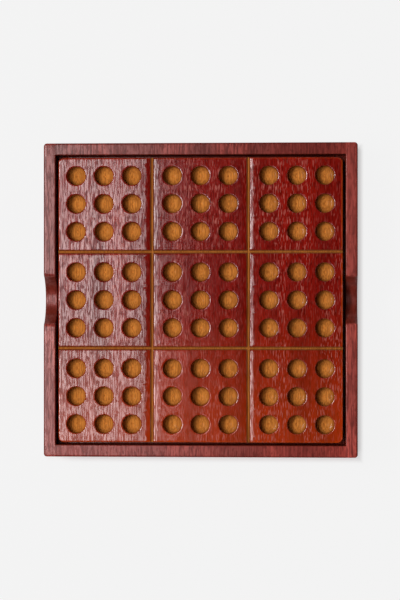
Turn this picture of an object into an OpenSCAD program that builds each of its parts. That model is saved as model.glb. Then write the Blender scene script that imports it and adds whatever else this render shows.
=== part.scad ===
// Sudoku board: a square wooden box whose lift-out play board has nine by nine blind holes.
// The number pegs are kept in the box under the board, standing in rows, one row for each numeral.
// X runs to the right, Y to the back and Z up. The origin is the middle of the box's underside.
// Lengths are in millimetres.

/* [Box] */
// Outer width of the box, along X and along Y
box_width = 180; // [160:1:220]
// Height of the box
box_height = 40; // [36:1:50]
// Thickness of each wall, which is the width of the rim
wall = 6.8; // [6.4:0.1:7.2]
// Radius of the box's four upright corners
corner_radius = 1.8; // [1:0.1:2.5]

/* [Finger notches] */
// Radius of the scoop in the top edge of each side wall
notch_radius = 15; // [14:0.5:17]
// Depth of the scoop below the rim
notch_depth = 9; // [7:0.5:9.5]

/* [Base and ledges] */
// Thickness of the base panel
base_thickness = 4; // [3:0.5:4.5]
// How far the base panel is let into each wall
base_rebate = 3; // [2:0.5:3.5]
// Width of the strips that carry the play board
ledge_width = 6; // [4.5:0.5:7]
// Height of those strips
ledge_height = 6; // [4:0.5:7]

/* [Play board] */
// Thickness of the play board
board_thickness = 10; // [9.5:0.5:11]
// Gap between the play board and each wall
board_gap = 1.7; // [1.2:0.1:2]
// Radius of the play board's four upright corners
board_corner = 3; // [2:0.5:4]
// Radius of a peg hole
hole_radius = 5.4; // [5.1:0.1:5.6]
// Depth of a peg hole at its wall
hole_depth = 5.5; // [4.5:0.5:6.5]
// How much deeper a peg hole is at its middle
drill_point = 1; // [0.5:0.1:1.5]
// Width of the bevel around a hole's mouth
hole_bevel = 0.5; // [0.3:0.1:0.7]
// Distance from the board's edge to the middle of the outer holes
hole_margin = 10.3; // [9:0.1:12]
// Step from hole to hole across a groove, as a share of the step within a block
block_step_share = 1.45; // [1.25:0.05:1.6]
// Width of a groove at the board's face
groove_width = 2.2; // [1.5:0.1:3]
// Depth of a groove
groove_depth = 1.1; // [0.8:0.1:1.5]

/* [Pegs] */
// Gap between a peg and the wall of its hole
peg_clearance = 0.4; // [0.2:0.05:0.6]
// Free height between the pegs in the box and the underside of the play board
peg_headroom = 6; // [5.5:0.5:9]
// Width of the bevel at both ends of a peg
peg_bevel = 0.6; // [0.3:0.1:0.9]
// Distance from a wall to the middle of the outer pegs as they stand in the box
store_margin = 19.2; // [14:0.1:20]

/* [Hidden] */
$fn = 96;

// How far a cut runs on past the face that it starts from
overrun = 1;
// Holes along one side of a block, blocks along one side of the board, and pegs in one row
block_cells = 3;
block_count = 3;
row_cells = block_cells * block_count;

// Inside of the box, and the panel let into it
inner_side = box_width - 2 * wall;
panel_side = inner_side + 2 * base_rebate;
// Heights of the surfaces that things rest on
board_floor = box_height - board_thickness;
ledge_floor = board_floor - ledge_height;
// Inside between the ledges
ledge_inner = inner_side - 2 * ledge_width;
// The play board's side, and the step between the holes of one block
board_side = inner_side - 2 * board_gap;
hole_steps = block_count * (block_cells - 1) + (block_count - 1) * block_step_share;
hole_pitch = (board_side - 2 * hole_margin) / hole_steps;
// A peg that slips into the holes and stands under the board, and the step between the pegs in the box
peg_radius = hole_radius - peg_clearance;
peg_length = board_floor - base_thickness - peg_headroom;
store_pitch = (inner_side - 2 * store_margin) / (row_cells - 1);
// Height of the line that the finger scoops are turned about
notch_axis = box_height + notch_radius - notch_depth;
// Distance from the middle of one block to the middle of the next
block_pitch = (block_cells - 1 + block_step_share) * hole_pitch;

wood_red = [0.42, 0.10, 0.06];
wood_rim = [0.38, 0.14, 0.12];
wood_bare = [0.72, 0.46, 0.22];
wood_dark = [0.20, 0.10, 0.06];

// Offset of one of a row's places from the row's middle, in places
function from_middle(index, count) = index - (count - 1) / 2;

// Place of a hole along either side of the board
function hole_place(index) =
    from_middle(floor(index / block_cells), block_count) * block_pitch
    + from_middle(index % block_cells, block_cells) * hole_pitch;

// A square slab, centred on the Z axis, with rounded upright corners
module rounded_slab(side, height, radius) {
    reach = side - 2 * radius;
    translate([-reach / 2, -side / 2, 0])
        cube([reach, side, height]);
    translate([-side / 2, -reach / 2, 0])
        cube([side, reach, height]);
    for (x = [-reach / 2, reach / 2], y = [-reach / 2, reach / 2])
        translate([x, y, 0])
            cylinder(h = height, r = radius);
}

// The recess for the base panel, open downwards
module panel_recess() {
    translate([-panel_side / 2, -panel_side / 2, -overrun])
        cube([panel_side, panel_side, base_thickness + overrun]);
}

// The finger scoop, turned about a line along X that crosses both side walls
module finger_scoop() {
    translate([-box_width / 2 - overrun, 0, notch_axis])
        rotate([0, 90, 0])
            cylinder(h = box_width + 2 * overrun, r = notch_radius);
}

// A side wall over the box's whole depth, on the right for side 1 and on the left for side -1
module side_wall(side) {
    color(wood_rim)
        difference() {
            intersection() {
                rounded_slab(box_width, box_height, corner_radius);
                translate([side * (box_width - wall) / 2 - wall / 2, -box_width / 2, 0])
                    cube([wall, box_width, box_height]);
            }
            panel_recess();
            finger_scoop();
        }
}

// An end wall between the side walls, at the back for side 1 and at the front for side -1
module end_wall(side) {
    color(wood_rim)
        difference() {
            translate([-inner_side / 2, side * (box_width - wall) / 2 - wall / 2, 0])
                cube([inner_side, wall, box_height]);
            panel_recess();
        }
}

// The base panel, flush with the walls' undersides
module base_panel() {
    color(wood_bare)
        translate([-panel_side / 2, -panel_side / 2, 0])
            cube([panel_side, panel_side, base_thickness]);
}

// A ledge along a side wall, from end wall to end wall
module side_ledge(side) {
    color(wood_bare)
        translate([side * (inner_side - ledge_width) / 2 - ledge_width / 2, -inner_side / 2, ledge_floor])
            cube([ledge_width, inner_side, ledge_height]);
}

// A ledge along an end wall, between the side ledges
module end_ledge(side) {
    color(wood_bare)
        translate([-ledge_inner / 2, side * (inner_side - ledge_width) / 2 - ledge_width / 2, ledge_floor])
            cube([ledge_inner, ledge_width, ledge_height]);
}

// The tool that cuts one peg hole down from the board's face, with its bevelled mouth and coned floor
module hole_cutter() {
    mouth = hole_radius + hole_bevel;
    rotate_extrude()
        polygon([
            [0, -hole_depth - drill_point],
            [hole_radius, -hole_depth],
            [hole_radius, -hole_bevel],
            [mouth, 0],
            [mouth, overrun],
            [0, overrun]
        ]);
}

// The tool that cuts one V-groove along Y, from edge to edge of the board
module groove_cutter() {
    half = groove_width / 2;
    translate([0, board_side / 2 + overrun, 0])
        rotate([90, 0, 0])
            linear_extrude(height = board_side + 2 * overrun)
                polygon([[-half, 0], [0, -groove_depth], [half, 0], [half, overrun], [-half, overrun]]);
}

// The play board, with its holes and the grooves between the blocks
module play_board() {
    color(wood_red)
        difference() {
            translate([0, 0, board_floor])
                rounded_slab(board_side, board_thickness, board_corner);
            for (column = [0 : row_cells - 1], row = [0 : row_cells - 1])
                translate([hole_place(column), hole_place(row), box_height])
                    hole_cutter();
            for (turn = [0, 90], side = [-1, 1])
                translate([0, 0, box_height])
                    rotate([0, 0, turn])
                        translate([side * block_pitch / 2, 0, 0])
                            groove_cutter();
        }
}

// One peg, standing on the base panel, with bevelled ends
module peg() {
    tip = peg_radius - peg_bevel;
    rotate_extrude()
        polygon([
            [0, 0],
            [tip, 0],
            [peg_radius, peg_bevel],
            [peg_radius, peg_length - peg_bevel],
            [tip, peg_length],
            [0, peg_length]
        ]);
}

// The row of pegs that carry one numeral: the row of ones stands at the back, the row of nines at the front
module peg_row(numeral) {
    color(wood_dark)
        for (column = [0 : row_cells - 1])
            translate([
                from_middle(column, row_cells) * store_pitch,
                from_middle(row_cells - numeral, row_cells) * store_pitch,
                base_thickness
            ])
                peg();
}

side_wall(-1);  // left_wall
side_wall(1);  // right_wall
end_wall(-1);  // front_wall
end_wall(1);  // back_wall
base_panel();
side_ledge(-1);  // ledge_left
side_ledge(1);  // ledge_right
end_ledge(-1);  // ledge_front
end_ledge(1);  // ledge_back
play_board();
peg_row(1);  // pegs_1
peg_row(2);  // pegs_2
peg_row(3);  // pegs_3
peg_row(4);  // pegs_4
peg_row(5);  // pegs_5
peg_row(6);  // pegs_6
peg_row(7);  // pegs_7
peg_row(8);  // pegs_8
peg_row(9);  // pegs_9
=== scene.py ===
"""Sudoku board: a square wooden box, a lift-out play board with nine by nine peg holes, and number pegs.

X runs to the right, Y to the back and Z up, in metres, and the origin is the middle of the box's underside.
"""

import logging
import math
from dataclasses import dataclass, field
from enum import Enum

import bmesh
import bpy
import numpy as np
from bpy.types import ID, Material, Node, NodeSocket, NodeTree, Object
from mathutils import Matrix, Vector


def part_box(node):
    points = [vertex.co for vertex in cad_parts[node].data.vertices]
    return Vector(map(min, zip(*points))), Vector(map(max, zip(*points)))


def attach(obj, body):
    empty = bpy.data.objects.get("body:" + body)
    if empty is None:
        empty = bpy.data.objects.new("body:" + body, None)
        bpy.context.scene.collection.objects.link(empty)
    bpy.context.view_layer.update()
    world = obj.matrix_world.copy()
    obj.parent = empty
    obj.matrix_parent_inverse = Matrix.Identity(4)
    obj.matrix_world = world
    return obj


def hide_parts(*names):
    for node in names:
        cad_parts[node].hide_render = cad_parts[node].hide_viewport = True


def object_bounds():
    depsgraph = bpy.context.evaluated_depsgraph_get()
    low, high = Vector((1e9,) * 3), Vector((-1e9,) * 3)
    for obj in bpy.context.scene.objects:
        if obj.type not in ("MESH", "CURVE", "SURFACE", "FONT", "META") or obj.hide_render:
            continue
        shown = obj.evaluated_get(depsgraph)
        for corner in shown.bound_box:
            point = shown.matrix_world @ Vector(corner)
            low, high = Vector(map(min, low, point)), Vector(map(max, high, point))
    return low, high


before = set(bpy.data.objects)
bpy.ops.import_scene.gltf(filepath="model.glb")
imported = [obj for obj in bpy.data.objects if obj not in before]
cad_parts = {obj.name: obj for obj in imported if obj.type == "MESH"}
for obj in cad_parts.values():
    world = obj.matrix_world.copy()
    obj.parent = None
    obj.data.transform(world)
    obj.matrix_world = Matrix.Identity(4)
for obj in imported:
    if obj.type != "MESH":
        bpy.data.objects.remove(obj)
CAD_LOW, CAD_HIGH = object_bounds()

LOG = logging.getLogger("sudoku_board")
MM = 0.001
QUARTER = math.pi / 2
# Points in the same cube of this side are one point, and the shift keeps the cubes' faces off round measures
WELD = 1e-6
WELD_SHIFT = 0.37
# A fold sharper than this angle stays a crisp edge
CRISP = math.radians(42)
# Distance from a rounding to the next point on the flat face beside it, which keeps the shading off the face
GUARD = 0.3 * MM
# Angles on the play board's roundings
BEND = np.linspace(0, QUARTER, 6)
# Three blocks of the board, or three holes of a block, counted from the middle one
TRIO = np.arange(-1, 2)
# Pegs in a row
ROW = 9

Array = np.ndarray
Span = tuple[float, float]
Triple = tuple[float, float, float]
Colour = Triple
# The colours of the dark and of the light fibres
Tones = tuple[Colour, Colour]

# The marks at each point that the finishes read, and the value of each where nothing else is said:
# bare is 1 where a cut went through the stain, a little less towards a hole's wall as painted shade, edge 1 on a
# rounded edge, where the stain is thin, crown 1 on an upper face and 0 on the flanks under it, and soaked 1 on
# end grain, which drinks the stain, and as painted shade on the walls' inner faces and on the ledges
MARKS = {"bare": 0.0, "edge": 0.0, "crown": 1.0, "soaked": 0.0}

# The shared grain, and its layers: waves of noise in a metre along each axis, detail, and the values made 0 and 1
GRAIN = "wood_grain"
LAYERS = {
    "Tone": ((75, 5, 75), 3.0, 0.3, 0.7),
    "Fibre": ((1900, 80, 1900), 2.0, 0.37, 0.63),
    "Pores": ((1500, 220, 1500), 1.0, 0.53, 0.6),
    # Flecks: where pale dashes are painted as glints of the varnish
    "Flecks": ((1800, 210, 1800), 1.0, 0.56, 0.64),
    "Patch": ((80, 14, 80), 1.0, 0.42, 0.66),
}


def space(plane: Array, up: Array | float) -> Array:
    """Joins complex places in the plane and heights to points, with X, Y and Z along the last axis."""
    return np.stack(np.broadcast_arrays(plane.real, plane.imag, up), axis=-1)


def add_object(name: str, data: ID) -> Object:
    """Puts an object into the scene, at the origin.

    Args:
        name: the object's name.
        data: its mesh, lamp or camera.

    Returns:
        The object.
    """
    made = bpy.data.objects.new(name, data)
    bpy.context.scene.collection.objects.link(made)
    return made


@dataclass
class Surface:
    """Faces over points, with marks at each point that the finishes read."""

    points: Array  # places of the corners in metres, N by 3
    faces: Array  # four corner numbers for each face, M by 4
    marks: dict[str, Array]  # the values of each of MARKS, N long

    @classmethod
    def from_grid(cls, points: Array, loop: bool = False, **marks: Array) -> "Surface":
        """Joins the neighbouring points of one or more grids: (i, j), (i+1, j), (i+1, j+1) and (i, j+1) make a face.

        Args:
            points: places, shaped (..., rows, columns, 3).
            loop: whether the last row of a grid joins its first.
            marks: those of MARKS that aren't as usual, each of which broadcasts to (..., rows, columns).

        Returns:
            The surface, with points that coincide still apart.
        """
        rows, columns = points.shape[-3:-1]
        numbers = np.arange(points.size // 3).reshape(-1, rows, columns)
        if loop:
            numbers = np.concatenate([numbers, numbers[:, :1]], axis=1)
        corners = (numbers[:, :-1, :-1], numbers[:, 1:, :-1], numbers[:, 1:, 1:], numbers[:, :-1, 1:])
        shape = points.shape[:-1]
        values = {name: np.broadcast_to(marks.get(name, usual), shape).ravel() for name, usual in MARKS.items()}
        return cls(points.reshape(-1, 3), np.stack(corners, axis=-1).reshape(-1, 4), values)

    @classmethod
    def joined(cls, surfaces: list["Surface"]) -> "Surface":
        """Puts surfaces together and welds points that fall into the same small cube of space.

        Args:
            surfaces: the surfaces of one piece.

        Returns:
            One surface.
        """
        starts = np.cumsum([0] + [len(s.points) for s in surfaces[:-1]])
        points = np.concatenate([s.points for s in surfaces])
        faces = np.concatenate([s.faces + start for s, start in zip(surfaces, starts)])
        cubes = np.floor(points / WELD + WELD_SHIFT).astype(np.int64)
        _, first, number = np.unique(cubes, axis=0, return_index=True, return_inverse=True)
        marks = {name: np.concatenate([s.marks[name] for s in surfaces])[first] for name in MARKS}
        return cls(points[first], number.reshape(-1)[faces], marks)

    def make(self, name: str, closed: bool = True) -> Object:
        """Makes the Blender object: a face that lost a corner to the weld is a triangle, one that lost more is dropped.

        Args:
            name: the piece's name.
            closed: whether the surface is a closed shell, whose faces are turned outwards.

        Returns:
            The object, at the origin.
        """
        same = self.faces == np.roll(self.faces, -1, axis=1)
        lost = same.sum(axis=1)
        quads = self.faces[lost == 0].tolist()
        triangles = self.faces[lost == 1][~same[lost == 1]].reshape(-1, 3).tolist()
        mesh = bpy.data.meshes.new(name)
        mesh.from_pydata(self.points.tolist(), [], quads + triangles)
        for mark, values in self.marks.items():
            mesh.attributes.new(mark, "FLOAT", "POINT").data.foreach_set("value", values.astype(np.float32))
        if closed:
            shell = bmesh.new()
            shell.from_mesh(mesh)
            bmesh.ops.recalc_face_normals(shell, faces=shell.faces)
            shell.to_mesh(mesh)
            shell.free()
        mesh.shade_smooth()
        mesh.set_sharp_from_angle(angle=CRISP)
        return add_object(name, mesh)


@dataclass
class Section:
    """A closed cross-section with rounded right-angled corners."""

    points: Array  # places across and up, J by 2
    normals: Array  # directions out of the wood, J by 2
    corner: Array  # number of the corner that each point belongs to
    edge: Array  # 0 where a rounding starts and ends, 1 in its middle

    @classmethod
    def rounded(cls, corners: Array, radii: Array, steps: int = 5) -> "Section":
        """Rounds each corner c by an arc: c + r(u + v) - r(v cos t + u sin t), u and v pointing along its two edges.

        Args:
            corners: the corners in order around the wood, C by 2.
            radii: the rounding of each corner, 0 for one that points into the wood.
            steps: parts of each arc.

        Returns:
            The section.
        """
        back = np.roll(corners, 1, axis=0) - corners
        ahead = np.roll(corners, -1, axis=0) - corners
        back, ahead = ((way / np.linalg.norm(way, axis=1, keepdims=True))[:, None] for way in (back, ahead))
        turn = np.clip(np.arange(-1, steps + 2) / steps, 0, 1)[None, :, None] * QUARTER
        convex = np.sign(back[..., 1:] * ahead[..., :1] - back[..., :1] * ahead[..., 1:])
        out = -convex * (ahead * np.cos(turn) + back * np.sin(turn))
        radius = radii[:, None, None]
        points = corners[:, None] + radius * (back + ahead + out)
        beside = np.where(radius > 0, GUARD, 0.0)
        points[:, :1] += beside * back
        points[:, -1:] += beside * ahead
        number = np.repeat(np.arange(len(corners)), steps + 3)
        edge = np.tile(np.sin(2 * turn.ravel()), len(corners))
        return cls(points.reshape(-1, 2), out.reshape(-1, 2), number, edge)


def mirrored(rows: Array) -> Array:
    """Turns rows of Stations round, to run on from a bar's middle to its other end: along and tilt change sign."""
    return rows[:, ::-1] * np.array([[-1], [1], [-1], [1], [1]])


@dataclass
class Stations:
    """Places along a straight bar at which its section is set down."""

    along: Array  # place along the bar
    end: Array  # -1 or 1 on the rounding of an end, 0 elsewhere
    turn: Array  # angle on the rounding of an end, a quarter turn at the end face
    drop: Array  # height of the top against its full height, 0 or less
    tilt: Array  # angle between the top's normal and the vertical
    full: Array  # 1 where a rebated section is filled up
    flush: Array  # 1 where a neighbour stands against the inner face, which then has no rounded edge

    @classmethod
    def of_bar(cls, half: float, rows: Array, steps: int = 5) -> "Stations":
        """Lays stations from end to end of a bar.

        Args:
            half: half the bar's length.
            rows: the stations between the ends: along, drop, tilt, full and flush, five by K.
            steps: parts of an end's rounding.

        Returns:
            The stations.
        """
        turn = np.linspace(QUARTER, 0, steps + 1)
        still = np.zeros(steps + 1)
        ends = np.array([still - half, still, still, rows[3, 0] + still, rows[4, 0] + still])
        along, drop, tilt, full, flush = np.concatenate([ends, rows, mirrored(ends)], axis=1)
        middle = np.zeros(rows.shape[1])
        end = np.r_[still - 1, middle, still + 1]
        return cls(along, end, np.r_[turn, middle, turn[::-1]], drop, tilt, full, flush)


def bar_surface(section: Section, pull: Array, push: Array, stations: Stations, middle: Array) -> Array:
    """Carries a section along a bar and rounds its ends, then closes them with fans.

    At an end a point lies pull(1 - sin b) before the end face and push(1 - cos b) inside the section, with
    b the angle on the rounding. Between the ends it stays on its own line along the bar.

    Args:
        section: the bar's section.
        pull: length of the end's rounding for each point of the section.
        push: how far each point moves in at the end face, across and up.
        stations: places along the bar.
        middle: place on the end faces from which the fans spread.

    Returns:
        Places along, across and up, shaped (stations + 2, section points, 3).
    """
    back = stations.end * (1 - np.sin(stations.turn))
    along = stations.along[:, None] - back[:, None] * pull
    inside = np.abs(stations.end) * (1 - np.cos(stations.turn))
    across, up = section.points.T[:, None] - inside[:, None] * push.T[:, None]
    body = np.stack([along, across, up], axis=-1)
    caps = [np.broadcast_to([row[0, 0], *middle], row.shape)[None] for row in (body[0], body[-1])]
    return np.concatenate([caps[0], body, caps[1]])


class Side(Enum):
    """The box's four sides, each with the direction that it faces in the plane."""

    LEFT = -1
    RIGHT = 1
    FRONT = -1j
    BACK = 1j


class Axis(Enum):
    """The way that a piece's grain runs, as the turn that brings it to Y."""

    X = (0.0, 0.0, QUARTER)
    Y = (0.0, 0.0, 0.0)
    Z = (-QUARTER, 0.0, 0.0)


@dataclass
class Wiring:
    """Adds nodes to one node tree and links them."""

    tree: NodeTree

    def feed(self, node: Node, inputs: dict) -> Node:
        """Fills a node's inputs.

        Args:
            node: the node.
            inputs: sockets to link from, or plain values, by the name or number of the input.

        Returns:
            The same node.
        """
        for name, value in inputs.items():
            if isinstance(value, NodeSocket):
                self.tree.links.new(value, node.inputs[name])
            else:
                node.inputs[name].default_value = value
        return node

    def add(self, kind: str, inputs: dict, **settings: object) -> Node:
        """Adds a node.

        Args:
            kind: the node's type.
            inputs: what to fill its inputs with.
            settings: properties of the node.

        Returns:
            The node.
        """
        node = self.tree.nodes.new(kind)
        for name, value in settings.items():
            setattr(node, name, value)
        return self.feed(node, inputs)

    def spot(self) -> NodeSocket:
        """Reads the place on the object."""
        return self.add("ShaderNodeTexCoord", {}).outputs["Object"]

    def calc(self, kind: str, first: object, second: object) -> NodeSocket:
        """Works out one sum, such as MULTIPLY, of two sockets or values."""
        return self.add("ShaderNodeMath", {0: first, 1: second}, operation=kind).outputs[0]

    def blend(self, share: object, first: object, second: object) -> NodeSocket:
        """Blends from the first colour to the second by a share from 0 to 1."""
        first, second = (c if isinstance(c, NodeSocket) else (*c, 1.0) for c in (first, second))
        return self.add("ShaderNodeMix", {0: share, 6: first, 7: second}, data_type="RGBA").outputs[2]

    def ramp(self, value: object, start: float, end: float, low: float = 0.0, high: float = 1.0) -> NodeSocket:
        """Carries a value between start and end smoothly to low and high, and stops there."""
        inputs = {"Value": value, "From Min": start, "From Max": end, "To Min": low, "To Max": high}
        return self.add("ShaderNodeMapRange", inputs, interpolation_type="SMOOTHSTEP").outputs[0]

    def spread(self, place: object, factors: Triple) -> NodeSocket:
        """Multiplies a place by a factor along each axis."""
        return self.add("ShaderNodeVectorMath", {0: place, 1: factors}, operation="MULTIPLY").outputs[0]

    def noise(self, place: object, waves: Triple, detail: float) -> NodeSocket:
        """Draws noise over a place, with so many waves a metre along each axis."""
        inputs = {"Vector": self.spread(place, waves), "Scale": 1.0, "Detail": detail}
        return self.add("ShaderNodeTexNoise", inputs).outputs[0]


def build_grain() -> None:
    """Builds the shared grain, which runs along the Y of its input Place and has an output for each of LAYERS."""
    tree = bpy.data.node_groups.new(GRAIN, "ShaderNodeTree")
    tree.interface.new_socket("Place", in_out="INPUT", socket_type="NodeSocketVector")
    wiring = Wiring(tree)
    place = wiring.add("NodeGroupInput", {}).outputs["Place"]
    outputs = {}
    for name, (waves, detail, *span) in LAYERS.items():
        tree.interface.new_socket(name, in_out="OUTPUT", socket_type="NodeSocketFloat")
        outputs[name] = wiring.ramp(wiring.noise(place, waves, detail), *span)
    wiring.add("NodeGroupOutput", outputs)


@dataclass(frozen=True)
class WoodFinish:
    """Stained or raw wood with grain, open pores and a film of varnish."""

    name: str
    face: Tones  # of the upper faces
    flank: Tones  # of the flanks
    thin: Colour  # colour on rounded edges: lighter where the stain is thin on the board and the pegs, darker than the faces on the rims
    film: float  # weight of the varnish's own gloss between the pores
    film_rough: float  # roughness of the varnish
    rough: float  # roughness of the wood under it
    relief: float  # height of the grain
    streaks: float  # how much of the colour follows the fibres
    pore_dark: float  # how dark the pores are
    fleck: float = 0.0  # how pale the painted highlights are: glints of the varnish painted as pale dashes between the pores
    fade: float = 0.0  # how much the colour turns lighter and more orange towards the front, by blending to the edge colour
    lean: float = 0.0  # how much lighter the colour is at the front, and darker at the back
    fine: float = 1.0  # how close the fibres lie, against those of the board
    film_least: float = 0.2  # share of the gloss left on open grain
    along: Axis = Axis.Y  # the way that the grain runs
    brushed: bool = False  # whether the upper faces are sanded along Y, whatever the grain
    cut: Tones = ((0.42, 0.14, 0.024), (0.68, 0.245, 0.044))  # tones where a cut bares the wood
    burnt: Colour = (0.035, 0.004, 0.001)  # colour of the dark line where a cut starts, and of the painted shade round a hole's floor
    burn: float = 2.8  # strength of that line and of that painted shade
    soak: Colour = (0.11, 0.011, 0.004)  # colour of end grain that drank the stain, also painted as shade on the walls' inner faces and on the ledges
    soak_share: float = 0.8  # how much of that colour it shows
    bloom: Colour = (0.5, 0.14, 0.11)  # colour of those painted highlights
    streak_least: float = 0.4  # share of the streaks left outside the patches
    fleck_least: float = 0.2  # share of those painted highlights left there
    pore_least: float = 0.4  # share of the pores left on flanks
    pore_tone: float = 0.3  # brightness of a pore, against the dark fibres
    worn_share: float = 0.7  # how much of the thin stain's colour an edge shows
    thin_tone: Span = (0.62, 1.25)  # brightness of thin stain on dark and on light fibres
    edge_film: float = 0.4  # share of the gloss left on an edge
    fibre_rough: float = 0.1  # how much rougher light fibres are
    bare_rough: float = 0.3  # how much rougher bare wood is
    open_fibre: Span = (0.7, 0.15)  # fibres that are shut, and fibres that are open grain
    fibre_height: float = 0.6  # height of a fibre, against the depth of a pore
    lean_span: Span = (90 * MM, -90 * MM)  # places along Y between which the colour gets lighter
    fade_span: Span = (10 * MM, -90 * MM)  # places along Y between which it fades
    wood_shine: float = 0.012  # specular level of the wood itself
    film_index: float = 1.7  # refractive index of the varnish

    def material(self) -> Material:
        """Builds the material over the shared grain.

        Returns:
            The material.
        """
        made = bpy.data.materials.new(self.name)
        made.use_nodes = True
        wiring = Wiring(made.node_tree)
        add, calc, blend, ramp = wiring.add, wiring.calc, wiring.blend, wiring.ramp
        bare, edge, crown, soaked = (
            add("ShaderNodeAttribute", {}, attribute_name=mark).outputs["Fac"] for mark in MARKS
        )
        spot = wiring.spot()
        place = add("ShaderNodeMapping", {"Vector": spot, "Rotation": self.along.value}).outputs[0]
        if self.brushed:
            upper = calc("GREATER_THAN", crown, 0.5)
            place = add("ShaderNodeMix", {0: upper, 4: place, 5: spot}, data_type="VECTOR").outputs[1]
        place = wiring.spread(place, (self.fine, 1.0, self.fine))
        grain = bpy.data.node_groups[GRAIN]
        tone, fibre, pores, painted_glints, patch = add("ShaderNodeGroup", {"Place": place}, node_tree=grain).outputs
        patched = ramp(patch, 0.0, 1.0, self.streaks * self.streak_least, self.streaks)
        streak = calc("MULTIPLY", patched, fibre)
        mixed = calc("ADD", calc("MULTIPLY", tone, 1 - self.streaks), streak)
        front = add("ShaderNodeSeparateXYZ", {0: spot}).outputs["Y"]
        mixed = calc("ADD", mixed, ramp(front, *self.lean_span, -self.lean, self.lean))
        stain = blend(crown, *(blend(mixed, *tones) for tones in (self.flank, self.face)))
        # Soak colour: end grain that drank the stain in the notches, and painted shade on the walls' inner faces and on
        # the ledges
        stain = blend(calc("MULTIPLY", soaked, self.soak_share), stain, self.soak)
        deep = ramp(crown, 0.0, 1.0, self.pore_dark * self.pore_least, self.pore_dark)
        pore = tuple(c * self.pore_tone for c in self.face[0])
        stain = blend(calc("MULTIPLY", pores, deep), stain, pore)
        # Rounded edges, and the board towards the front, blend to the edge colour
        worn = calc("MAXIMUM", edge, ramp(front, *self.fade_span, 0.0, self.fade))
        thin = blend(mixed, *(tuple(c * level for c in self.thin) for level in self.thin_tone))
        stain = blend(calc("MULTIPLY", worn, self.worn_share), stain, thin)
        # Painted highlights: pale pinkish dashes between the pores stand in for glints of the varnish
        pale = ramp(patch, 0.0, 1.0, self.fleck * self.fleck_least, self.fleck)
        stain = blend(calc("MULTIPLY", painted_glints, pale), stain, self.bloom)
        whole = calc("SUBTRACT", 1.0, bare)
        # The dark line where a cut starts; in the holes it also paints the shade towards the wall
        burn = calc("MULTIPLY", calc("MULTIPLY", bare, whole), self.burn)
        colour = blend(burn, blend(bare, stain, blend(fibre, *self.cut)), self.burnt)
        rough = ramp(fibre, 0.0, 1.0, self.rough, self.rough + self.fibre_rough)
        open_grain = calc("MAXIMUM", pores, ramp(fibre, *self.open_fibre))
        film = ramp(open_grain, 0.0, 1.0, self.film, self.film * self.film_least)
        film = calc("MULTIPLY", film, ramp(edge, 0.0, 1.0, 1.0, self.edge_film))
        height = calc("SUBTRACT", calc("MULTIPLY", fibre, self.fibre_height), pores)
        bump = add("ShaderNodeBump", {"Height": height, "Strength": 1.0, "Distance": self.relief})
        looks = {
            "Base Color": colour,
            "Roughness": calc("ADD", rough, calc("MULTIPLY", bare, self.bare_rough)),
            "Specular IOR Level": self.wood_shine,
            "Coat Weight": calc("MULTIPLY", film, whole),
            "Coat Roughness": self.film_rough,
            "Coat IOR": self.film_index,
            "Normal": bump.outputs[0],
        }
        wiring.feed(made.node_tree.nodes["Principled BSDF"], looks)
        return made


@dataclass(frozen=True)
class PaintFinish:
    """Matt paint with a faint mottle."""

    name: str
    colour: Colour  # the paint where it is thick
    thin: Colour  # the paint where it is thin
    rough: float  # the paint's roughness
    waves: float  # waves of the mottle in a metre
    detail: float = 2.0  # detail of the mottle
    span: Span = (0.35, 0.65)  # values of the mottle where the paint is thin and where it is thick

    def material(self) -> Material:
        """Builds the material.

        Returns:
            The material.
        """
        made = bpy.data.materials.new(self.name)
        made.use_nodes = True
        wiring = Wiring(made.node_tree)
        mottle = wiring.ramp(wiring.noise(wiring.spot(), (self.waves,) * 3, self.detail), *self.span)
        looks = {"Base Color": wiring.blend(mottle, self.thin, self.colour), "Roughness": self.rough}
        wiring.feed(made.node_tree.nodes["Principled BSDF"], looks)
        return made


# The stains and the raw wood
RED = ((0.135, 0.0018, 0.0004), (0.31, 0.006, 0.001))
BROWN = ((0.14, 0.018, 0.014), (0.58, 0.086, 0.062))
UMBER = ((0.13, 0.016, 0.012), (0.42, 0.058, 0.042))
ORANGE = ((0.34, 0.028, 0.006), (0.60, 0.075, 0.016))
PALE = ((0.42, 0.20, 0.07), (0.62, 0.36, 0.16))
DARK = ((0.035, 0.012, 0.007), (0.075, 0.026, 0.014))
# What the rims of all four walls have in common
RIM = {"thin": (0.12, 0.018, 0.014), "rough": 0.5, "relief": 0.03 * MM, "fine": 0.55, "film_least": 0.55}


class Finish(Enum):
    """The finishes of the object's pieces."""

    BOARD = WoodFinish(
        "board_stain", RED, RED, thin=(0.62, 0.072, 0.003), film=1.0, film_rough=0.12, rough=0.4,
        relief=0.018 * MM, streaks=0.45, pore_dark=0.5, fleck=0.65, fade=0.5,
    )
    SIDE_RIM = WoodFinish(
        "side_rim_stain", BROWN, ORANGE, film=0.52, film_rough=0.27, streaks=0.7, pore_dark=0.3, **RIM
    )
    END_RIM = WoodFinish(
        "end_rim_stain", UMBER, ORANGE, film=0.34, film_rough=0.32, streaks=0.6, pore_dark=0.35,
        lean=0.06, along=Axis.X, brushed=True, **RIM,
    )
    RAW = WoodFinish(
        "raw_wood", PALE, PALE, thin=(0.55, 0.30, 0.12), film=0.1, film_rough=0.6, rough=0.65,
        relief=0.04 * MM, streaks=0.45, pore_dark=0.3, along=Axis.X,
    )
    PEG = WoodFinish(
        "peg_stain", DARK, DARK, thin=(0.09, 0.035, 0.02), film=0.6, film_rough=0.36, rough=0.45,
        relief=0.03 * MM, streaks=0.45, pore_dark=0.4, along=Axis.Z,
    )
    NUMERAL = PaintFinish("numeral_paint", (0.82, 0.81, 0.78), (0.68, 0.66, 0.62), 0.5, 2400)


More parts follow.
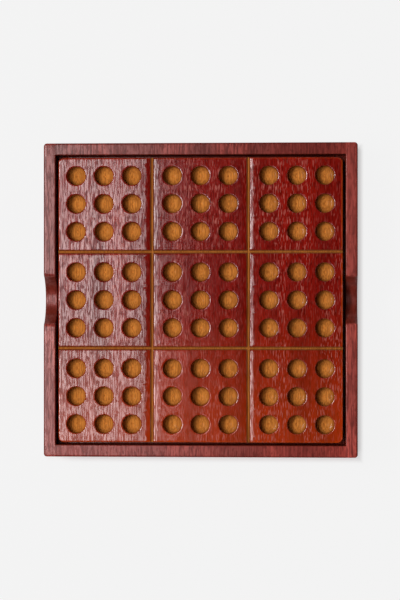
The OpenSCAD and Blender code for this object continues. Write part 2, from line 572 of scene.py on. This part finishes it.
def dress(piece: Object, finish: Finish, body: str, node: str | None) -> None:
    """Gives a piece its finish and its place in the frame.

    Args:
        piece: the piece.
        finish: its finish, whose material is built by then.
        body: the body that it rides on.
        node: the node that it stands for, if any.
    """
    piece.data.materials.append(bpy.data.materials[finish.value.name])
    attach(piece, body)
    if node:
        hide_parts(node)
    LOG.info("%s rides on %s: %d faces", piece.name, body, len(piece.data.polygons))


@dataclass
class Wall:
    """One wall of the box, with rounded edges, a rebate for the base panel and, on two sides, a finger notch."""

    side: Side  # where the wall stands
    notch_ease: float  # rounding at the notch's two ends, or 0 for a wall with no notch
    end_round: float  # rounding of the upright outer corner at the wall's ends
    rim_round: Span = (1.0 * MM, 0.5 * MM)  # rounding of the rim's outer and inner edge
    foot_round: float = 0.5 * MM  # rounding of the outer bottom edge
    notch_radius: float = 15 * MM
    notch_depth: float = 9 * MM
    ease_points: int = 7  # points on the rounding at an end of the notch
    scoop_points: int = 25  # points on the notch itself
    rebate: Span = (3 * MM, 4 * MM)  # width and height of the rebate
    rebate_half: float = 86.2 * MM  # half the rebate's length, where it stops short of the ends
    set_back: float = 0.97  # most that the rim's points are set back, as a share of notch_ease, so that none cross
    corner_wear: float = 0.3  # wear of the upright outer corners
    soak_least: float = 0.0  # stain that the level middle of the notch drinks, as a share; where it is low, the lighter middle also paints part of the notch's highlight
    soak_slope: float = 2.5  # how much more is drunk on a slope, where the fibres are cut across
    soak_depth: float = 1.6 * MM  # depth in the notch from which the wood drinks its fill
    near: float = field(init=False)
    far: float = field(init=False)
    half: float = field(init=False)
    height: float = field(init=False)

    def __post_init__(self) -> None:
        """Reads the wall's faces from its node."""
        low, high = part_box(self.node)
        facing = np.conj(self.side.value)
        corners = facing * np.array([low.x + 1j * low.y, high.x + 1j * high.y])
        self.near, self.far = sorted(corners.real)
        self.half, self.height = np.abs(corners.imag).max(), high.z

    @property
    def node(self) -> str:
        """The name of the wall's node."""
        return f"{self.side.name.lower()}_wall"

    def notch_rows(self) -> Array:
        """Follows the rim through the notch: a convex arc, the concave scoop about a point above, and a convex arc.

        Every point is its arc's centre plus or minus the radius times the normal (sin a, cos a), with a the tilt.

        Returns:
            Rows for Stations, from one end of the notch to the other.
        """
        ease, radius = self.notch_ease, self.notch_radius
        rise = radius - self.notch_depth + ease
        start = math.sqrt((radius + ease) ** 2 - rise**2)
        lean = math.atan2(start, rise)
        first, scoop = np.linspace(0, lean, self.ease_points), np.linspace(lean, -lean, self.scoop_points)[1:-1]
        entry = np.array([ease * np.sin(first) - start, ease * (np.cos(first) - 1), first])
        floor = np.array([-radius * np.sin(scoop), radius * (1 - np.cos(scoop)) - self.notch_depth, scoop])
        entry, floor = (np.concatenate([part, np.zeros((2, part.shape[1]))]) for part in (entry, floor))
        return np.concatenate([entry, floor, mirrored(entry)], axis=1)

    def surface(self) -> Surface:
        """Carries the wall's section along it, with the rim's points set back along the rim's normal.

        Returns:
            The wall's surface in its place.
        """
        deep, tall = self.rebate
        thick = self.far - self.near
        corners = np.array([(thick, 0), (thick, self.height), (0, self.height), (0, tall), (deep, tall), (deep, 0)])
        section = Section.rounded(corners, np.array([self.foot_round, *self.rim_round, 0.0, 0.0, 0.0]))
        rows = np.zeros((5, 1))
        if self.notch_ease:
            stops = [-self.rebate_half, -self.rebate_half, thick - self.half, thick - self.half]
            start = np.array([stops, [0] * 4, [0] * 4, [1, 0, 0, 0], [1, 1, 1, 0]])
            rows = np.concatenate([start, self.notch_rows(), mirrored(start)], axis=1)
        stations = Stations.of_bar(self.half, rows)
        outward, upward = np.clip(section.normals, 0, 1).T
        rim = np.isin(section.corner, (1, 2))
        top = min(self.rim_round[0], self.end_round)
        pull = np.minimum(np.hypot(self.end_round * outward, top * upward), self.end_round)
        pull = np.select([section.corner == 0, section.corner == 2], [self.end_round, top], pull)
        spare = np.clip(self.end_round - thick + section.points[:, 0], 0, None) * (section.corner < 2)
        push = np.stack([spare, top * upward * rim], axis=1)
        places = bar_surface(section, pull, push, stations, np.array([(deep + thick) / 2, self.height / 2]))
        body = places[1:-1]
        depth = (self.height - section.points[:, 1]) * rim
        shift = np.minimum(depth, self.set_back * self.notch_ease)
        tilt, drop, flush = stations.tilt[:, None], stations.drop[:, None], stations.flush[:, None]
        body[..., 0] -= np.sin(tilt) * shift
        body[..., 2] += (drop + shift * (1 - np.cos(tilt))) * rim
        square = (flush > 0) & (section.corner == 2)
        level = self.height - top * (1 - np.cos(stations.turn))[:, None]
        body[..., 1] = np.where(square, 0.0, body[..., 1])
        body[..., 2] = np.where(square, level, body[..., 2])
        filled = (stations.full[:, None] > 0) & (section.corner == 4)
        body[..., 1:] -= filled[..., None] * np.array(self.rebate)
        edge, crown, soaked = np.zeros((3, *places.shape[:2]))
        upright = self.corner_wear * np.sin(2 * stations.turn)[:, None] * outward
        edge[1:-1] = np.where(square, 0.0, np.maximum(section.edge * rim, upright))
        crown[1:-1] = np.cos(stations.turn * np.abs(stations.end))[:, None] * upward
        scooped = np.clip(self.soak_least + np.abs(np.sin(tilt)) * self.soak_slope, 0, 1) * rim * upward
        scooped = scooped * np.clip(-drop / self.soak_depth, 0, 1)
        # The inner face, down in the gap round the board, takes the soak colour as painted shade
        soaked[1:-1] = np.where(section.points[:, 0] < WELD, 1 - flush, scooped)
        plane = self.side.value * (self.near + places[..., 1] + 1j * places[..., 0])
        marks = {"edge": edge.T, "crown": crown.T, "soaked": soaked.T}
        return Surface.from_grid(space(plane, places[..., 2]).swapaxes(0, 1), loop=True, **marks)

    def build(self) -> None:
        """Makes the wall and stains it."""
        finish = Finish.SIDE_RIM if self.notch_ease else Finish.END_RIM
        piece = Surface.joined([self.surface()]).make(f"{self.node}_stained")
        dress(piece, finish, "box", self.node)


@dataclass
class Bar:
    """A straight strip or panel of wood with eased edges."""

    node: str  # the node that it stands for
    ease: float  # rounding of its edges
    stained: bool  # whether it is stained like the walls and darkened all over in painted shade, or raw
    steps: int = 3  # parts of a rounding

    def build(self) -> None:
        """Carries a rounded rectangle along the strip's longer side, and dresses the strip."""
        low, high = (np.array(corner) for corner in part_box(self.node))
        size, middle = high - low, (low + high) / 2
        long = int(np.argmax(size[:2]))
        across, up = size[1 - long] / 2, size[2] / 2
        corners = np.array([(across, -up), (across, up), (-across, up), (-across, -up)])
        section = Section.rounded(corners, np.full(4, self.ease), self.steps)
        stations = Stations.of_bar(size[long] / 2, np.zeros((5, 1)), self.steps)
        pull = np.full(len(section.corner), self.ease)
        places = bar_surface(section, pull, self.ease * section.normals, stations, np.zeros(2))
        placed = places[..., [0, 1, 2] if long == 0 else [1, 0, 2]] + middle
        marks = {"edge": section.edge[:, None], "crown": np.clip(section.normals[:, 1:], 0, 1)}
        # A stained ledge takes the soak colour all over, as painted shade under the board
        grid = Surface.from_grid(placed.swapaxes(0, 1), loop=True, soaked=float(self.stained), **marks)
        piece = Surface.joined([grid])
        if self.stained:
            finish = Finish.END_RIM if long == 0 else Finish.SIDE_RIM
            dress(piece.make(f"{self.node}_stained"), finish, "box", self.node)
        else:
            dress(piece.make(f"{self.node}_raw"), Finish.RAW, "box", self.node)


@dataclass
class PlayBoard:
    """The lift-out board: nine by nine blind holes, two grooves each way and rounded edges."""

    hole_pitch: float = 16 * MM  # step from hole to hole in a block
    block_pitch: float = 55.2 * MM  # step from block to block
    hole_radius: float = 5.4 * MM
    hole_depth: float = 5.5 * MM  # depth of a hole at its wall
    hole_bared: Span = (0.4 * MM, 1.0 * MM)  # depths in a hole between which the wood gets bare
    lip: float = 0.55 * MM  # rounding of a hole's mouth
    lip_reach: float = 1.6  # distance from a hole's wall to the flat face, as a multiple of lip
    foot: float = 1.6 * MM  # rounding between a hole's wall and its floor
    dish: float = 1.0 * MM  # how much deeper the floor is in the middle
    pit: Span = (0.7 * MM, 0.45 * MM)  # radius and depth of the drill's mark in the middle of the floor
    scorch: float = 0.15  # painted shade: how much less bare the wood is made at a hole's wall, which darkens the wall and the floor's edge
    groove: Span = (1.1 * MM, 1.1 * MM)  # half the width, and the depth, of a groove
    groove_soft: float = 0.15 * MM  # softness of a groove's upper edges
    groove_reach: float = 1.45 * MM  # half the width of the strip that a groove is cut in
    groove_bare: float = 0.9  # how bare the wood is in a groove
    groove_bared: Span = (0.1 * MM, 0.5 * MM)  # depths in a groove between which it gets bare
    corner: float = 3 * MM  # radius of the board's upright corners, and width of its border
    top_round: float = 0.8 * MM  # rounding of the upper edge
    under_round: float = 0.6 * MM  # rounding of the lower edge
    least_worn: float = 0.3  # wear of the left and back edges, as a share of that of the right and front edges
    top_wear: Span = (0.65, 1.0)  # wear where the upper edge's rounding starts and where it ends
    side_wear: float = 0.2  # wear of the flank
    under_wear: float = 0.8  # wear of the lower edge
    under_rings: tuple[float, ...] = (1, 0.6, 0.3, 0)  # rings of points in the underside, as shares of its size
    parts: int = 10  # parts of each side of a hole's cell
    groove_points: int = 11  # points across a groove
    corner_points: int = 9  # points around an upright corner
    floor_points: int = 5  # points from the foot of a hole to the drill's mark
    top: float = field(init=False)
    thick: float = field(init=False)
    flat: float = field(init=False)

    def __post_init__(self) -> None:
        """Reads the board's face, its thickness and half its flat part from its node."""
        low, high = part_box("play_board")
        self.top, self.thick, self.flat = high.z, high.z - low.z, high.x - self.corner

    def cell_edges(self) -> Array:
        """Finds the cells' edges along one side of the board.

        Returns:
            Four places in each of three blocks.
        """
        blocks = TRIO[:, None] * self.block_pitch
        edges = blocks + (np.arange(4) - 1.5) * self.hole_pitch
        half_gap = self.block_pitch / 2 - self.groove_reach
        edges[:, 0], edges[:, 3] = blocks[:, 0] - half_gap, blocks[:, 0] + half_gap
        edges[0, 0], edges[2, 3] = -self.flat, self.flat
        return edges

    def stretches(self) -> Array:
        """Divides each cell's side along one side of the board into equal parts.

        Returns:
            Places between the grooves, three by K.
        """
        edges = self.cell_edges()
        share = np.arange(self.parts) / self.parts
        inside = edges[:, :-1, None] + np.diff(edges, axis=1)[..., None] * share
        return np.concatenate([inside.reshape(3, -1), edges[:, 3:]], axis=1)

    def groove_places(self) -> Array:
        """Places across the two grooves, closer together at the upper edges."""
        offsets = self.groove_reach * np.sin(np.linspace(-QUARTER, QUARTER, self.groove_points))
        return np.array([[-0.5], [0.5]]) * self.block_pitch + offsets

    def runs(self) -> Array:
        """All the places along one side of the flat part, in order."""
        return np.sort(np.r_[self.stretches().ravel(), self.groove_places()[:, 1:-1].ravel()])

    def groove_height(self, along: Array) -> Array:
        """Height of the face over a groove: -(f + sqrt(f f + s s)) / 2, with f the fall of a V and s the softness.

        Args:
            along: places along one side of the board.

        Returns:
            Heights, 0 on the face and below 0 in a groove.
        """
        half, depth = self.groove
        distance = np.abs(np.abs(along) - self.block_pitch / 2)
        fall = depth * (1 - distance / half)
        eased = -(fall + np.hypot(fall, self.groove_soft)) / 2
        return np.where(distance < self.groove_reach - WELD, eased, 0.0)

    @staticmethod
    def bared(height: Array, start: float, end: float) -> Array:
        """How bare the wood is at a height: nothing down to start, all of it from end, an S-curve between."""
        share = np.clip((-height - start) / (end - start), 0, 1)
        return share * share * (3 - 2 * share)

    def hole_profile(self) -> tuple[Array, Array]:
        """Runs from the face into a hole: rounded lip, straight wall, rounded foot, dished floor and drill mark.

        The floor is a parabola, deepest in the middle.

        Returns:
            Distances from the hole's middle, and heights.
        """
        radius, flat = self.hole_radius, self.hole_radius - self.foot
        pit_radius, pit_depth = self.pit
        floor = np.linspace(flat, pit_radius, self.floor_points)[1:]
        dished = -self.hole_depth - self.dish * (1 - (floor / flat) ** 2)
        low = -self.hole_depth - self.dish - pit_depth
        lip, wall = radius + self.lip * (1 - np.sin(BEND)), flat + self.foot * np.cos(BEND)
        fall, bottom = self.lip * (np.cos(BEND) - 1), self.foot * (1 - np.sin(BEND)) - self.hole_depth
        distance = np.r_[radius + self.lip * self.lip_reach, lip, wall, floor, pit_radius / 2, 0]
        return distance, np.r_[0, fall, bottom, dished, low + pit_depth / 4, low]

    def holes(self) -> Surface:
        """Spreads each square cell from its border to the hole's round lip and down to the floor.

        A cell's border point and the spoke of the same number are joined by a straight line with one point midway.

        Returns:
            All 81 cells.
        """
        edges, share = self.cell_edges(), np.arange(self.parts) / self.parts
        low, wide = edges[:, :-1].ravel()[:, None], np.diff(edges, axis=1).ravel()[:, None]
        still, full = np.zeros(self.parts), np.ones(self.parts)
        x = low + wide * np.r_[share, full, 1 - share, still]
        y = low + wide * np.r_[still, share, full, 1 - share]
        places = np.add.outer(TRIO * self.block_pitch, TRIO * self.hole_pitch).ravel()
        middle = (places + 1j * places[:, None])[..., None, None]
        spokes = np.exp(1j * (np.arange(4 * self.parts) * QUARTER / self.parts - 1.5 * QUARTER))
        distance, height = self.hole_profile()
        rings = middle + spokes[:, None] * distance
        border = (x + 1j * y[:, None])[..., None]
        plane = np.concatenate([border, (border + rings[..., :1]) / 2, rings], axis=-1)
        drop, outer = np.r_[0, 0, height], np.r_[1, 1, np.minimum(distance / self.hole_radius, 1)]
        # Painted shade: the wood is made less bare towards the wall, which darkens the floor's edge and the wall
        bare = self.bared(drop, *self.hole_bared) * (1 - self.scorch * outer**2)
        return Surface.from_grid(space(plane, self.top + drop), loop=True, bare=bare)

    def grooves(self) -> list[Surface]:
        """Lays the grooved strips: along Y from border to border, along X between those.

        Returns:
            The strips along Y and the strips along X.
        """
        across = self.groove_places()[:, :, None]
        strips = []
        for x, y in ((across, self.runs()), (self.stretches()[:, None, None, :], across)):
            height = np.minimum(self.groove_height(x), self.groove_height(y))
            bare = self.groove_bare * self.bared(height, *self.groove_bared)
            strips.append(Surface.from_grid(space(x + 1j * y, self.top + height), bare=bare))
        return strips

    def border(self) -> list[Surface]:
        """Carries the edge's profile round the flat part, and fills in the underside.

        The path is one side, with a fan at its corner, turned by quarter turns. The height is the lower of the
        profile and the groove that runs out there.

        Returns:
            The border and the underside.
        """
        runs, fan = self.runs(), np.linspace(0, QUARTER, self.corner_points)[1:-1]
        turns, still = np.array([1, 1j, -1, -1j])[:, None], np.zeros(len(fan))
        base = (turns * np.r_[self.flat + 1j * runs, still + self.flat * (1 + 1j)]).ravel()
        out = (turns * np.r_[np.ones(len(runs)), np.exp(1j * fan)]).ravel()
        dip = np.tile(np.r_[self.groove_height(runs), still], 4)[:, None]
        top, under, low = self.top_round, self.under_round, -self.thick
        turned, back = self.corner - top * (1 - np.sin(BEND)), self.corner - under * (1 - np.cos(BEND))
        reach = np.r_[0, turned[0] - GUARD, turned, self.corner, self.corner, back, 0]
        rise, below = top * (np.cos(BEND) - 1), under * (1 - np.sin(BEND)) + low
        height = np.r_[0, 0, rise, -2 * top, 2 * under + low, below, low]
        first, last = self.top_wear
        upper, lower = first + (last - first) * np.sin(BEND), self.under_wear * np.sin(2 * BEND)
        worn = np.r_[0, 0, upper, self.side_wear, self.side_wear, lower, 0]
        handled = self.least_worn + (1 - self.least_worn) * np.clip((1 + out.real - out.imag) / 2, 0, 1)
        level = np.minimum(height, dip)
        points = space(base[:, None] + out[:, None] * reach, self.top + level)
        bare = self.groove_bare * self.bared(np.where(level < height, level, 0.0), *self.groove_bared)
        edging = Surface.from_grid(points, loop=True, bare=bare, edge=handled[:, None] * worn)
        underside = space(base[:, None] * np.array(self.under_rings), self.top + low)
        return [edging, Surface.from_grid(underside, loop=True)]

    def build(self) -> None:
        """Makes the board and stains it."""
        surface = Surface.joined([self.holes(), *self.grooves(), *self.border()])
        dress(surface.make("play_board_stained"), Finish.BOARD, "board", "play_board")


@dataclass
class PegRow:
    """Nine round pegs with the same painted numeral, as they stand in the box."""

    numeral: int
    ease: float = 0.6 * MM  # rounding at both ends of a peg
    ease_points: int = 4  # points on that rounding
    spokes: int = 24  # parts around a peg
    tall: float = 5.4 * MM  # height of the numeral
    curve_parts: int = 4  # parts of each curve in its outline
    proud: float = 0.05 * MM  # height of the paint over the peg's end
    sway: float = math.radians(9)  # most that a numeral is turned
    places: Array = field(init=False)
    radius: float = field(init=False)
    low: float = field(init=False)
    top: float = field(init=False)

    def __post_init__(self) -> None:
        """Reads the pegs' places from their node."""
        low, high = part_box(self.node)
        self.radius, self.low, self.top = (high.y - low.y) / 2, low.z, high.z
        across = np.linspace(low.x + self.radius, high.x - self.radius, ROW)
        self.places = across + 1j * (low.y + high.y) / 2

    @property
    def node(self) -> str:
        """The name of the row's node."""
        return f"pegs_{self.numeral}"

    def pegs(self) -> Surface:
        """Turns a profile with rounded ends about each peg's own axis.

        Returns:
            The nine pegs.
        """
        bend, ease = np.linspace(0, QUARTER, self.ease_points), self.ease
        side = self.radius - ease
        distance = np.r_[0, side + ease * np.sin(bend), side + ease * np.cos(bend), 0]
        foot, head = ease * (1 - np.cos(bend)) + self.low, self.top - ease * (1 - np.sin(bend))
        height = np.r_[self.low, foot, head, self.top]
        worn = np.r_[0, np.sin(2 * bend), np.sin(2 * bend), 0]
        spokes = np.exp(2j * math.pi * np.arange(self.spokes) / self.spokes)[:, None]
        plane = self.places[:, None, None] + spokes * distance
        return Surface.from_grid(space(plane, height), edge=worn, loop=True)

    def numerals(self) -> Object:
        """Sets a copy of the numeral's outline on each peg, turned by a small seeded angle.

        Returns:
            One piece with nine numerals.
        """
        name = f"numerals_{self.numeral}"
        line = bpy.data.curves.new(name, "FONT")
        line.body, line.resolution_u, line.extrude = str(self.numeral), self.curve_parts, self.proud
        holder = bpy.data.objects.new(name, line)
        flat = bpy.data.meshes.new_from_object(holder)
        bpy.data.objects.remove(holder)
        outline = np.zeros(len(flat.vertices) * 3)
        flat.vertices.foreach_get("co", outline)
        outline = outline.reshape(-1, 3)
        low, high = outline.min(axis=0), outline.max(axis=0)
        outline = (outline - (low + high) / 2) * self.tall / (high - low)[1]
        turn = np.random.default_rng(self.numeral).uniform(-self.sway, self.sway, ROW)
        plane = self.places[:, None] + np.exp(1j * turn)[:, None] * (outline[:, 0] + 1j * outline[:, 1])
        points = space(plane, self.top + self.proud * np.where(outline[:, 2] > 0, 1.0, -1.0))
        faces = [np.array(face.vertices) for face in flat.polygons]
        starts = np.arange(ROW) * len(outline)
        mesh = bpy.data.meshes.new(name)
        mesh.from_pydata(points.reshape(-1, 3).tolist(), [], [(f + s).tolist() for s in starts for f in faces])
        bpy.data.meshes.remove(flat)
        bpy.data.curves.remove(line)
        return add_object(name, mesh)

    def build(self) -> None:
        """Makes the pegs and paints their numerals."""
        body = f"peg_row_{self.numeral}"
        pegs = Surface.joined([self.pegs()]).make(f"{self.node}_stained")
        dress(pegs, Finish.PEG, body, self.node)
        dress(self.numerals(), Finish.NUMERAL, body, None)


@dataclass(frozen=True)
class Lamp:
    """A flat lamp that gives even light."""

    name: str
    place: Triple  # its middle
    aim: Triple  # the point that it faces
    size: Span  # its width and height
    glow: float  # its radiance, where 1 looks white

    def build(self) -> None:
        """Hangs the lamp: its power is the radiance times its area times pi."""
        lamp = bpy.data.lights.new(self.name, "AREA")
        lamp.shape = "RECTANGLE"
        lamp.size, lamp.size_y = self.size
        lamp.energy = self.glow * math.pi * self.size[0] * self.size[1]
        holder = add_object(self.name, lamp)
        holder.location = self.place
        holder.rotation_euler = (Vector(self.aim) - Vector(self.place)).to_track_quat("-Z", "Y").to_euler()


@dataclass
class Studio:
    """Pale floor, two soft lamps on the left, weak light all round, and the camera above."""

    eye: Triple = (0.06, 0.0, 1.14)  # the camera's place
    aim: Triple = (0.0, 0.0, 0.04)  # middle of the box's rim, which the camera faces
    tall: float = 0.3432  # height of the picture at the rim
    sensor: float = 36.0  # height of the camera's sensor, in millimetres
    # The lamp that shapes the holes, and the lamp that the varnish mirrors
    key: Lamp = Lamp("key", (-0.68, 0.1, 1.3), (0.0, 0.0, 0.0), (0.7, 0.22), 26.5)
    panel: Lamp = Lamp("panel", (-0.30, -0.07, 1.2), (-0.30, -0.07, 0.0), (0.36, 0.76), 5.1)
    sky: float = 0.015  # strength of the light overhead
    horizon: float = 0.88  # strength of the light from the horizon and below it
    dusk: Span = (0.1, 0.55)  # rises of a direction between which the one fades to the other
    floor_paint: PaintFinish = PaintFinish("floor_paint", (0.9, 0.9, 0.9), (0.8955, 0.8955, 0.8955), 0.9, 40)
    floor_half: float = 2.5  # half the floor's side
    floor_open: float = 88 * MM  # half the side of the opening under the box
    floor_height: float = -0.2 * MM  # a little under the box
    floor_lift: Span = (0.55, 0.975)  # share of the floor's own light beside the box and far off, against the shadow
    contact: Span = (1.0 * MM, 5.0 * MM)  # distances from the box between which that share rises
    contact_shift: float = 2.0 * MM  # how far the shadow beside the box lies to the front

    def floor(self) -> None:
        """Lays the floor, open under the box, which shows only from above and is paler to the eye and in mirrors."""
        corners = np.array([1 + 1j, 1 - 1j, -1 - 1j, -1 + 1j])
        rings = corners[:, None] * np.array([self.floor_open, 2 * CAD_HIGH[0], self.floor_half])
        piece = Surface.from_grid(space(rings, self.floor_height), loop=True).make("floor", closed=False)
        paint = self.floor_paint.material()
        nodes, wiring = paint.node_tree.nodes, Wiring(paint.node_tree)
        path = wiring.add("ShaderNodeLightPath", {}).outputs
        seen = wiring.calc("ADD", path["Is Camera Ray"], path["Is Glossy Ray"])
        seen = wiring.calc("MINIMUM", wiring.calc("ADD", seen, path["Is Transmission Ray"]), 1.0)
        glow = wiring.add("ShaderNodeEmission", {"Color": (*self.floor_paint.colour, 1.0)}).outputs[0]
        spot = wiring.add("ShaderNodeSeparateXYZ", {0: wiring.spot()}).outputs
        shifted = wiring.calc("ADD", spot["Y"], self.contact_shift)
        sides = (wiring.calc("ABSOLUTE", side, 0.0) for side in (spot["X"], shifted))
        apart = wiring.calc("SUBTRACT", wiring.calc("MAXIMUM", *sides), CAD_HIGH[0])
        lift = wiring.calc("MULTIPLY", seen, wiring.ramp(apart, *self.contact, *self.floor_lift))
        lit = nodes["Principled BSDF"].outputs[0]
        mixed = wiring.add("ShaderNodeMixShader", {0: lift, 1: lit, 2: glow}).outputs[0]
        behind = wiring.add("ShaderNodeNewGeometry", {}).outputs["Backfacing"]
        clear = wiring.add("ShaderNodeBsdfTransparent", {}).outputs[0]
        mixed = wiring.add("ShaderNodeMixShader", {0: behind, 1: mixed, 2: clear}).outputs[0]
        wiring.feed(nodes["Material Output"], {0: mixed})
        piece.data.materials.append(paint)

    def all_round(self) -> None:
        """Sets the light all round: pale to the eye, at the horizon and below, fading to weak light overhead."""
        world = bpy.data.worlds.new("studio")
        world.use_nodes = True
        wiring = Wiring(world.node_tree)
        toward = wiring.add("ShaderNodeTexCoord", {}).outputs["Generated"]
        rise = wiring.add("ShaderNodeSeparateXYZ", {0: toward}).outputs["Z"]
        seen = wiring.add("ShaderNodeLightPath", {}).outputs["Is Camera Ray"]
        pale = wiring.calc("MULTIPLY", seen, self.horizon)
        glow = wiring.ramp(rise, *self.dusk, self.horizon, self.sky)
        light = {"Color": (1, 1, 1, 1), "Strength": wiring.calc("MAXIMUM", glow, pale)}
        wiring.feed(world.node_tree.nodes["Background"], light)
        bpy.context.scene.world = world

    def camera(self) -> None:
        """Sets the camera above the box: focal length is to sensor height as the distance to the picture's height."""
        gaze = Vector(self.aim) - Vector(self.eye)
        lens = bpy.data.cameras.new("camera")
        lens.sensor_fit, lens.sensor_height = "VERTICAL", self.sensor
        lens.lens = self.sensor * gaze.length / self.tall
        holder = add_object("camera", lens)
        holder.location, holder.rotation_euler = self.eye, (0.0, math.atan2(-gaze.x, -gaze.z), 0.0)
        bpy.context.scene.camera = holder

    def build(self) -> None:
        """Makes the floor, the lights and the camera."""
        self.floor()
        self.key.build()
        self.panel.build()
        self.all_round()
        self.camera()
        bpy.context.scene.view_settings.view_transform = "Standard"


def main() -> None:
    """Builds the pieces in order, then the studio."""
    logging.basicConfig(level=logging.INFO, format="%(message)s")
    build_grain()
    for finish in Finish:
        finish.value.material()
    Wall(Side.LEFT, notch_ease=3.2 * MM, end_round=1.8 * MM).build()
    Wall(Side.RIGHT, notch_ease=0.8 * MM, end_round=1.8 * MM, soak_least=0.9).build()
    Wall(Side.FRONT, notch_ease=0.0, end_round=0.05 * MM).build()
    Wall(Side.BACK, notch_ease=0.0, end_round=0.05 * MM).build()
    Bar("base_panel", ease=0.3 * MM, stained=False).build()
    for side in Side:
        Bar(f"ledge_{side.name.lower()}", ease=0.5 * MM, stained=True).build()
    PlayBoard().build()
    for numeral in range(1, ROW + 1):
        PegRow(numeral).build()
    Studio().build()


if __name__ == "__main__":
    main()
